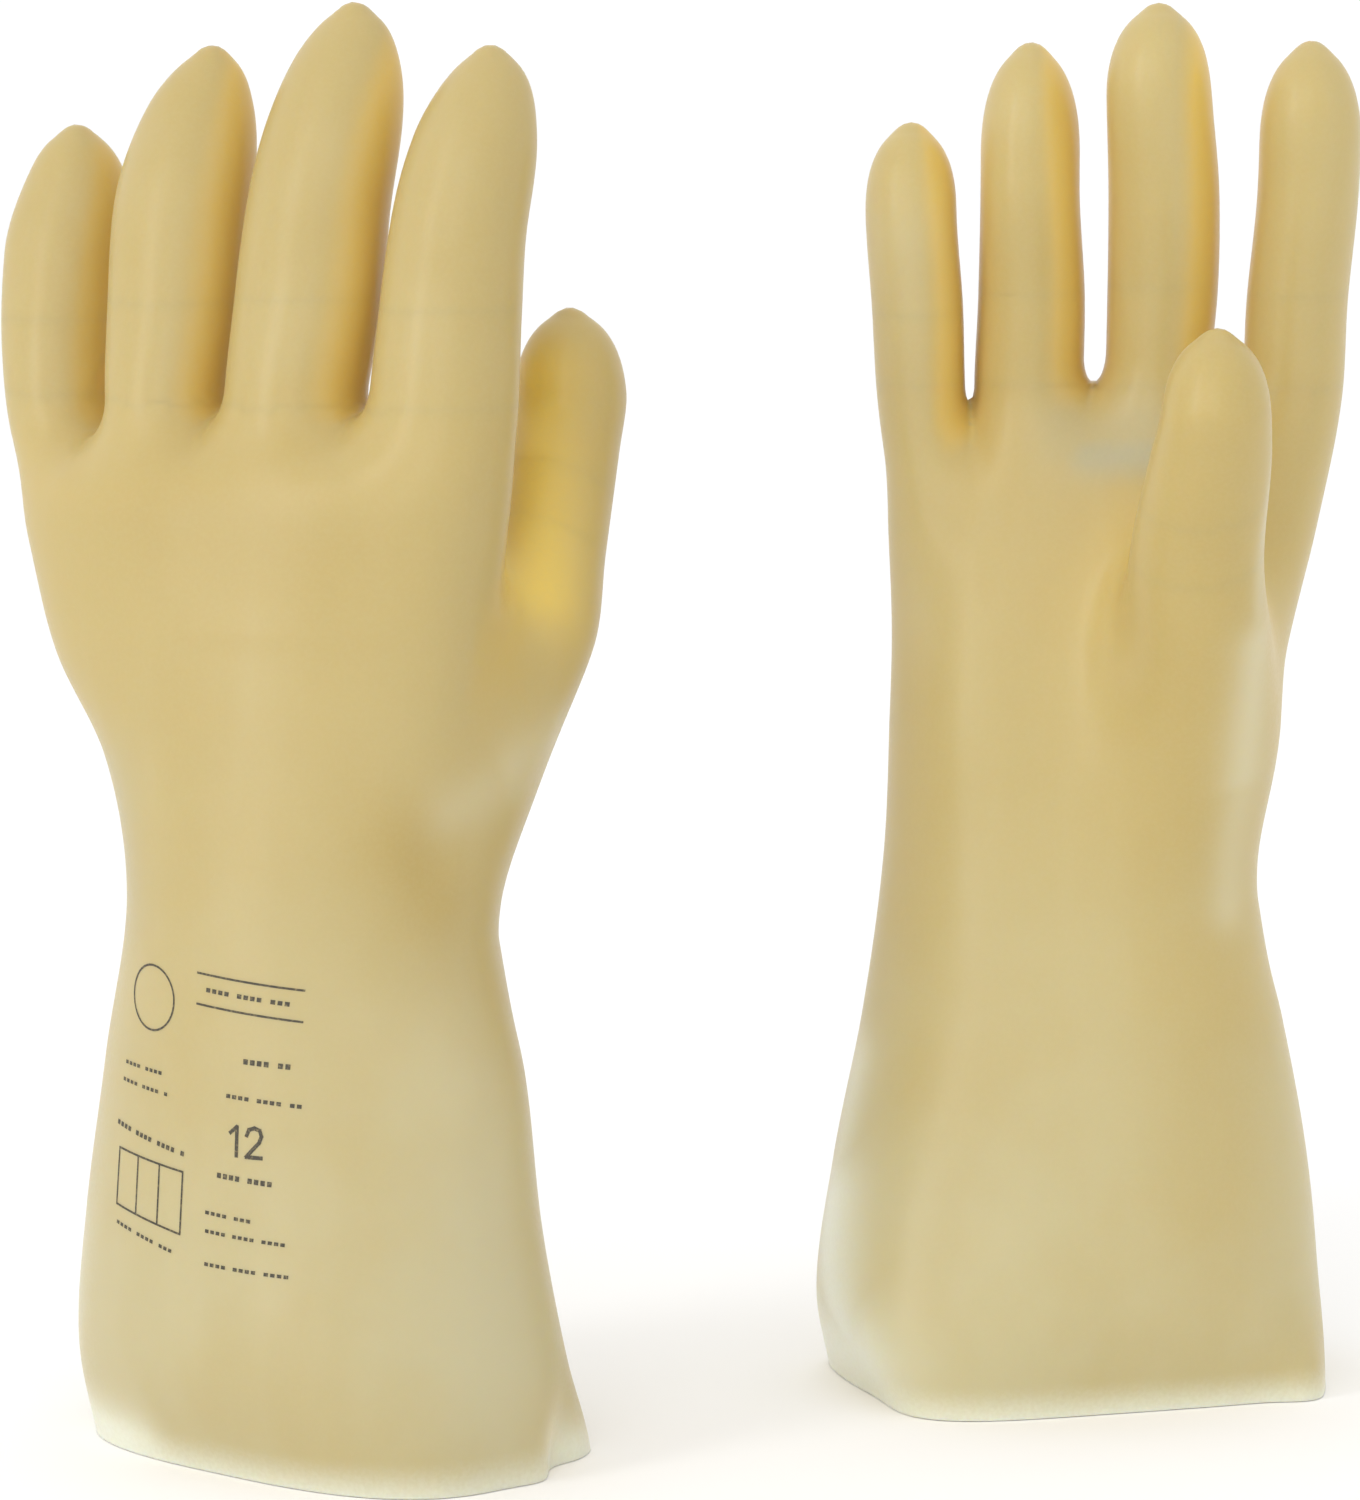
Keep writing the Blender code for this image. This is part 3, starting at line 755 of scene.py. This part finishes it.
def latex(name, tone):
    """Natural latex, translucent and satin and paler towards the cuff, with painted shade and painted
    light. Tone scales it.
    """
    material, tree, shader = new_material(name)
    place = attribute(tree, "place", "Vector")
    painted_crevice_shade, painted_shade, painted_warm_shade, cool, painted_light = (attribute(tree, mark) for mark in ("painted_crevice_shade", *STRETCHES))
    height = node(tree, "ShaderNodeSeparateXYZ", {0: place}).outputs["Z"]
    base = mix(tree, span(tree, height, 0.0, 0.23), LATEX_CUFF, LATEX_HAND)
    blotches = span(tree, noise(tree, place, 22.0, 3.0), 0.35, 0.7)
    base = mix(tree, maths(tree, "MULTIPLY", blotches, 0.35), base, LATEX_MOTTLE_AND_SHADE)
    streaks = span(tree, noise(tree, place, 60.0, 2.0, 0.5, (1, 1, 0.12)), 0.45, 0.75)
    base = mix(tree, maths(tree, "MULTIPLY", streaks, 0.12), base, LATEX_PALE)
    # Painted shade where the light falls off.
    base = mix(tree, painted_shade, base, LATEX_MOTTLE_AND_SHADE)
    # Painted shade between the digits and where latex lies in front.
    base = mix(tree, painted_crevice_shade, base, LATEX_CREVICE_SHADE)
    # Painted orange shade on the thumb behind the hand.
    base = mix(tree, painted_warm_shade, base, LATEX_WARM_SHADE)
    base = mix(tree, cool, base, LATEX_COOL)
    # Painted glow: the rim whitens as if lit through its thin latex, with a ragged edge.
    ragged = span(tree, noise(tree, place, 900.0, 3.0), 0.2, 0.8, -0.0005, 0.0005)
    painted_rim_glow = span(tree, maths(tree, "ADD", height, ragged), -0.004, 0.010, 1.0, 0.0)
    base = mix(tree, painted_rim_glow, base, LATEX_GLOW)
    # Painted light: glow on lit walls, and painted highlights on folds and creases.
    base = mix(tree, painted_light, base, LATEX_GLOW)
    fine = noise(tree, place, 900.0, 2.0)
    base = mix(tree, span(tree, fine, 0.3, 0.8, 0.0, 0.08), base, LATEX_PALE)
    base = mix(tree, 1.0, base, (tone, tone, tone, 1.0), "MULTIPLY")
    grain = noise(tree, place, 1800.0, 3.0, 0.6)
    waves = noise(tree, place, 38.0, 2.0)
    relief = maths(tree, "ADD", maths(tree, "MULTIPLY", grain, 0.02), waves)
    bump = node(tree, "ShaderNodeBump", {"Height": relief, "Strength": 0.25, "Distance": 0.0012})
    tree.links.new(base, shader.inputs["Base Color"])
    tree.links.new(bump.outputs[0], shader.inputs["Normal"])
    tree.links.new(span(tree, fine, 0.2, 0.8, 0.30, 0.40), shader.inputs["Roughness"])
    shader.inputs["Subsurface Weight"].default_value = 0.35
    shader.inputs["Subsurface Radius"].default_value = (1.0, 0.55, 0.2)
    shader.inputs["Subsurface Scale"].default_value = 0.006
    shader.inputs["IOR"].default_value = 1.45
    shader.inputs["Specular IOR Level"].default_value = 0.4
    return material


def ink():
    """Dark ink, worn a little."""
    material, tree, shader = new_material("print_ink")
    worn = span(tree, noise(tree, attribute(tree, "place", "Vector"), 1400.0, 3.0, 0.6), 0.45, 0.75)
    tree.links.new(mix(tree, worn, INK_DARK, INK_WORN), shader.inputs["Base Color"])
    shader.inputs["Roughness"].default_value = 0.55
    return material


def floor_white():
    """The matt white of the studio floor, with the faintest speckle."""
    material, tree, shader = new_material("floor_white")
    place = node(tree, "ShaderNodeTexCoord").outputs["Object"]
    speckle = maths(tree, "MULTIPLY", noise(tree, place, 400.0, 2.0), 0.02)
    tree.links.new(mix(tree, speckle, FLOOR_WHITE, FLOOR_GREY), shader.inputs["Base Color"])
    shader.inputs["Roughness"].default_value = 0.9
    return material


# The studio


def area_light(name, place, aim, size, power):
    """A soft rectangular light aimed at a point."""
    light = bpy.data.lights.new(name, "AREA")
    light.shape = "RECTANGLE"
    light.size, light.size_y = size
    light.energy = power
    obj = bpy.data.objects.new(name, light)
    obj.location = place
    obj.rotation_euler = (Vector(aim) - Vector(place)).to_track_quat("-Z", "Y").to_euler()
    bpy.context.scene.collection.objects.link(obj)


def build_floor():
    """A plain near-white floor just under the gloves."""
    mesh = bpy.data.meshes.new("floor")
    corners = [(-1, -1), (1, -1), (1, 1), (-1, 1)]
    mesh.from_pydata([(FLOOR_REACH * x, FLOOR_REACH * y, 0) for x, y in corners], [], [(0, 1, 2, 3)])
    mesh.materials.append(floor_white())
    floor = bpy.data.objects.new("floor", mesh)
    floor.location.z = CAD_BOX[0].z - FLOOR_DROP
    bpy.context.scene.collection.objects.link(floor)


def build_camera():
    """The camera, level with the fingertips and looking a little down."""
    data = bpy.data.cameras.new("camera")
    data.sensor_width = 36.0
    data.lens = CAMERA_LENS
    camera = bpy.data.objects.new("camera", data)
    camera.location = (CAMERA_X, -CAMERA_DISTANCE, CAD_BOX[1].z)
    camera.rotation_euler = (math.radians(90.0 - CAMERA_PITCH), 0, 0)
    bpy.context.scene.collection.objects.link(camera)
    bpy.context.scene.camera = camera


def build_studio():
    """White surroundings, soft light from the front left, the floor and the camera."""
    scene = bpy.context.scene
    scene.view_settings.view_transform = "Standard"
    world = bpy.data.worlds.new("studio")
    world.use_nodes = True
    background = world.node_tree.nodes["Background"]
    background.inputs["Color"].default_value = (1.0, 1.0, 1.0, 1.0)
    background.inputs["Strength"].default_value = WORLD_STRENGTH
    scene.world = world
    build_floor()
    middle = (CAD_BOX[0] + CAD_BOX[1]) / 2
    for name, (place, size, power) in LIGHTS.items():
        area_light(name, place, middle, size, power)
    build_camera()


def main():
    """Builds both gloves, the print and the studio."""
    for hand, glove in GLOVES.items():
        build_glove(hand, glove, latex(hand + "_latex", glove["tone"]))
    build_print("left", LEFT, ink())
    build_studio()


main()
